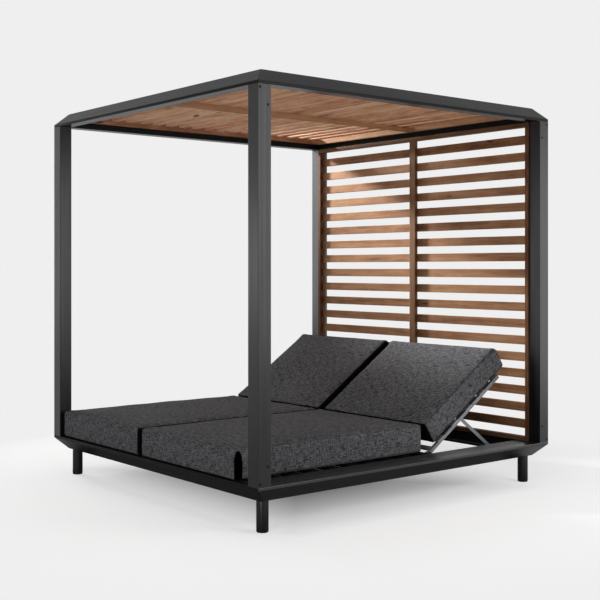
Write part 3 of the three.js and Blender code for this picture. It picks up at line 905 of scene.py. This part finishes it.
def pleat_outline(height):
    """Half the width of the hollow at a height: widest in the middle, round at its top."""
    if height >= pleat_top:
        return 0.0
    rise = height / pleat_top
    rounded = min(1.0, math.sqrt(max(0.0, 1 - rise ** pleat_top_power)))
    return pleat_half_width * rounded * (pleat_foot + pleat_bulge * math.sin(math.pi * rise))


def fold_corner(piece, size, finish):
    corner = Vector((size.x / 2, -size.y / 2, 0))
    inwards = Vector((-1, 1, 0)).normalized()
    sideways = Vector((1, 1, 0)).normalized()
    moved = set()
    for vertex in piece.data.vertices:
        from_corner = vertex.co - corner
        if from_corner.dot(inwards) > pleat_depth:
            continue
        half_width = pleat_outline(vertex.co.z)
        if half_width <= 0:
            continue
        off = abs(from_corner.dot(sideways) - pleat_centre) / half_width
        if off >= 1:
            continue
        push = pleat_depth * min(1.0, (1 - off) / pleat_wall)
        vertex.co += inwards * push
        if push > painted_shade_from * pleat_depth:
            moved.add(vertex.index)
    # faces deep in the fold get the near-black of painted shade
    piece.data.materials.append(finish)
    for face in piece.data.polygons:
        if all(index in moved for index in face.vertices):
            face.material_index = pleat_painted_shade_index
    return len(moved)


def open_at_corner(path, size):
    """The part of a seam that is clear of the fold, from one side of it to the other."""
    path = [p for p in path if p.y > -size.y / 2 + 2 * pleat_half_width]
    gap = max(range(len(path)), key=lambda i: (path[i] - path[i - 1]).length)
    return path[gap:] + path[:gap]


# %% Shape the two kinds of pad
forms = {}
for kind, size in size_of.items():
    forms[kind] = foam_block(kind + "_form", size, far_round_of[kind])
    blow_up(forms[kind], cap=swell + 0.001)
print("points of the two forms:", {kind: len(form.data.vertices) for kind, form in forms.items()})


# %% [markdown]
# Each pad takes its form through the same steps: it is stretched to its own width, turned
# over if it lies on the left, trued up, refined once, lined and sewn. It is then laid in
# its place with its seams.

# %% Make a pad
def sew(piece, name, kind, size):
    """Creases the cover along both seams and gives their threads, as meshes."""
    depth = crease_depth_of[kind]
    threads = []
    for panel in (-1, 1):
        path = seam_path(size, panel, foam_round, far_round_of[kind])
        pleated = name == pleated_pad and panel > 0
        if pleated:
            path = open_at_corner(path, size)
        spots = drop_on(piece, path)
        crease(piece, spots, depth, crease_width_of[kind])
        radius = thread_radius_of[kind]
        threads.append(thread_along(name, spots, depth * thread_sunk, not pleated, radius))
    return threads


def make_pad(name, kind, side, node, body, place, seed):
    """side is -1 for the left pad, which is the right one turned over."""
    mesh = forms[kind].data.copy()
    size = size_of[kind].copy()
    size.x += added_width(side) - added_width(1)
    mesh.transform(Matrix.Scale(size.x / size_of[kind].x, 4, (1, 0, 0)))
    if side < 0:
        mesh.transform(Matrix.Scale(-1, 4, (1, 0, 0)))
        mesh.flip_normals()
    piece = add_object(name, mesh)
    true_up(piece, size, crown_of[kind], seed)
    fine = piece.modifiers.new("fine", "SUBSURF")
    fine.levels = 1
    fine.render_levels = 1
    apply_modifiers(piece)
    weave_map(piece)
    piece.data.materials.clear()
    piece.data.materials.append(heather_grey)
    mesh_and_paint_shade_on_hidden_faces(piece, kind, side, size)
    threads = sew(piece, name, kind, size)
    if name == pleated_pad:
        print("points in the fold:", fold_corner(piece, size, pleat_painted_shade))
    seam = merged_piece(name + "_seams", threads, seam_thread, body)
    for made in (piece, seam):
        made.data.transform(place)
    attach(piece, body)
    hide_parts(node)
    return piece


# %% Lay the pads
seeds = {("seat", -1): 1.0, ("seat", 1): 2.0, ("back", -1): 3.0, ("back", 1): 4.0}
for side, label in ((-1, "left"), (1, "right")):
    outwards = side * (proud_outside[side] - proud_inside[side]) / 2
    for kind, body in (("seat", "frame"), ("back", "pad_" + label)):
        node = solid_of[kind] + label
        low, high = own_box(node, axes_of[kind])
        middle_x = (low.x + high.x) / 2 + outwards
        middle_y = (low.y + high.y + proud_far_end_of[kind]) / 2
        place = axes_of[kind] @ Matrix.Translation((middle_x, middle_y, low.z))
        pad_name = kind + "_cushion_" + label
        pad = make_pad(pad_name, kind, side, node, body, place, seeds[kind, side])
        print(pad_name, "faces:", len(pad.data.polygons))
for form in forms.values():
    bpy.data.objects.remove(form)

# %% [markdown]
# ## Strips on the backrests
# The slats lie on top of the side bars of a backrest, so between two slats the pad would
# hang clear of the bar, and light would shine through. A soft dark strip fills each such
# place, as on many slatted frames. The slats are found by their height above the bars.

# %% Strips between the slats
slat_rise = 0.004
same_height = 0.0005
strip_width = 0.015
strip_from_edge = 0.012
strip_gap = 0.0005
strip_clear = 0.0001
strip_round = 0.0008


def strip(parts, low, high, placed):
    bm = bmesh.new()
    bmesh.ops.create_cube(bm, size=1)
    bmesh.ops.scale(bm, vec=high - low, verts=bm.verts)
    bmesh.ops.translate(bm, vec=(low + high) / 2, verts=bm.verts)
    round_edges(bm, bm.edges[:], strip_round, 2)
    bmesh.ops.transform(bm, matrix=placed, verts=bm.verts)
    parts.append(as_mesh("strip", bm))


for label in ("left", "right"):
    spots = own_points("backrest_frame_" + label, leaning)
    low, high = own_box("backrest_frame_" + label, leaning)
    slat_edges = sorted({round(p.y, 3) for p in spots if p.z > high.z - same_height})
    bottom, top = high.z - slat_rise + strip_clear, high.z - strip_clear
    strips = []
    for start, end in zip(slat_edges[1:-1:2], slat_edges[2::2]):
        for centre in (low.x + strip_from_edge, high.x - strip_from_edge):
            left, right = centre - strip_width / 2, centre + strip_width / 2
            strip(
                strips,
                Vector((left, start + strip_gap, bottom)),
                Vector((right, end - strip_gap, top)),
                leaning,
            )
    print(label, "slat edges:", slat_edges, "strips:", len(strips))
    merged_piece(
        "backrest_strips_" + label, strips, moulded_black, "backrest_" + label,
    )

# %% [markdown]
# ## Studio
# The floor and the backdrop are one pale tone. The camera sees that tone directly from the
# world, so it costs the bed no extra light, and only a little of it lights the bed.

# %% Backdrop
backdrop = linear(239, 239, 239)
room_light = 0.08


def straight_or_mirrored(tree):
    """1 where the surface is looked at by the camera, in a reflection or through glass, else 0."""
    path = add_node(tree, "LightPath").outputs
    direct = math_node(tree, "MAXIMUM", path["Is Camera Ray"], path["Is Transmission Ray"])
    return math_node(tree, "MAXIMUM", direct, path["Is Glossy Ray"])


world = bpy.data.worlds.new("studio")
scene.world = world
world.use_nodes = True
tree = world.node_tree
tree.nodes.clear()
seen = straight_or_mirrored(tree)
room = add_node(tree, "Background", {"Color": (1, 1, 1, 1), "Strength": room_light})
shown = add_node(tree, "Background", {"Color": backdrop, "Strength": 1.0})
both = add_node(tree, "MixShader", {0: seen, 1: room.outputs[0], 2: shown.outputs[0]})
add_node(tree, "OutputWorld", {"Surface": both.outputs[0]})

# %% [markdown]
# Near the bed the floor adds a glow to a matt white, so that the bed still drops a soft shadow on
# it. The glow is weaker under the middle, a painted shadow where hardly any light gets in, and
# farther off the floor fades into the plain tone, so that no horizon shows.
#
# The black coat mirrors the floor, and a real floor is darker close to the bed than a plain tone.
# So what a reflection sees is a painted reflection set apart: dim below the bed, bright past its
# sides, and half bright past its ends.

# %% Floor
floor_half = 30
floor_white = (0.80, 0.80, 0.80, 1)
floor_glow = 0.64
glow_from, glow_to = 0.1, 0.9
glow_narrower = 0.82
fade_from, fade_to = 1.5, 2.4
painted_reflection_sides = (1.1, 1.5, 0.12, 1.0)
painted_reflection_ends = (0.95, 1.15, 0.0, 0.55)

bm = bmesh.new()
bmesh.ops.create_grid(bm, x_segments=1, y_segments=1, size=floor_half)
floor = add_object("floor", as_mesh("floor", bm))
floor_finish = bpy.data.materials.new("floor_tone")
floor_finish.use_nodes = True
tree = floor_finish.node_tree
tree.nodes.clear()
place = add_node(tree, "TexCoord").outputs["Object"]
axes = add_node(tree, "SeparateXYZ", {0: place}).outputs
off_x, off_y = (math_node(tree, "ABSOLUTE", axes[axis]) for axis in ("X", "Y"))


def tone(strength):
    return add_node(tree, "Emission", {"Color": backdrop, "Strength": strength}).outputs[0]


# under the middle of the bed the glow fades out: a painted shadow
from_middle = math_node(tree, "MAXIMUM", math_node(tree, "MULTIPLY", off_x, glow_narrower), off_y)
glow_with_painted_shadow = tone(spread(tree, from_middle, glow_from, glow_to, 0.0, floor_glow))
matt = add_node(tree, "BsdfDiffuse", {"Color": floor_white}).outputs[0]
lit = add_node(tree, "AddShader", {0: matt, 1: glow_with_painted_shadow}).outputs[0]
distance = add_node(tree, "VectorMath", {0: place}, operation="LENGTH").outputs["Value"]
far = spread(tree, distance, fade_from, fade_to)
near_or_far = add_node(tree, "MixShader", {0: far, 1: lit, 2: tone(1.0)}).outputs[0]
# near the bed reflections see a painted reflection of the floor, not the lit floor
past_sides = spread(tree, off_x, *painted_reflection_sides)
past_ends = spread(tree, off_y, *painted_reflection_ends)
painted_reflection = tone(math_node(tree, "MAXIMUM", past_sides, past_ends))
is_mirrored = add_node(tree, "LightPath").outputs["Is Glossy Ray"]
shown = add_node(tree, "MixShader", {0: is_mirrored, 1: near_or_far, 2: painted_reflection}).outputs[0]
seen = straight_or_mirrored(tree)
both = add_node(tree, "MixShader", {0: seen, 1: matt, 2: shown})
add_node(tree, "OutputMaterial", {"Surface": both.outputs[0]})
floor.data.materials.append(floor_finish)


# %% [markdown]
# ## Lamps
# A small lamp with a narrow beam stands high on the left. It comes in under the roof's edge
# and rakes across the back panel, so that the uprights throw shadows on the slats, and it
# fades towards the right. Large soft boxes do the rest: two on the left show in the faces
# of the posts that look to the foot end and light the inside, two on the right show in the
# ledge and the outer faces of the posts, one hangs overhead, and one stands beside the
# camera and fills what the others leave dark.

# %% Lamps
def soft_box(name, place, aim, size, power):
    """A lamp at place that looks at aim. size is its width and height, power is in watts."""
    data = bpy.data.lights.new(name, "AREA")
    data.shape = "RECTANGLE"
    data.size, data.size_y = size
    data.energy = power
    lamp = add_object(name, data)
    lamp.location = place
    lamp.rotation_euler = (Vector(aim) - Vector(place)).to_track_quat("-Z", "Y").to_euler()
    return lamp


panel_lamp = soft_box("panel_lamp", (-4.0, -0.03, 3.45), (-0.15, 0.97, 1.46), (0.42, 0.42), 11)
panel_lamp.data.spread = math.radians(20)
soft_box("left_front_box", (-2.1, -3.5, 1.27), (0.5, 0, 1.2), (1.3, 0.9), 10)
soft_box("left_box", (-3.4, -0.9, 1.6), (0, 0.3, 1.2), (1.2, 1.8), 34)
soft_box("right_box", (4.3, 1.5, 1.85), (0, 0, 1.2), (1.5, 2.7), 53)
soft_box("right_back_box", (3.4, 4.2, 1.25), (0.5, 0, 1.2), (2.0, 2.4), 42)
soft_box("top_box", (0.0, -0.5, 5.0), (0, 0, 0.5), (3.5, 3.5), 26)
soft_box("camera_side_box", (3.0, -5.0, 1.6), (0, 0, 1.0), (2.5, 2.0), 60)
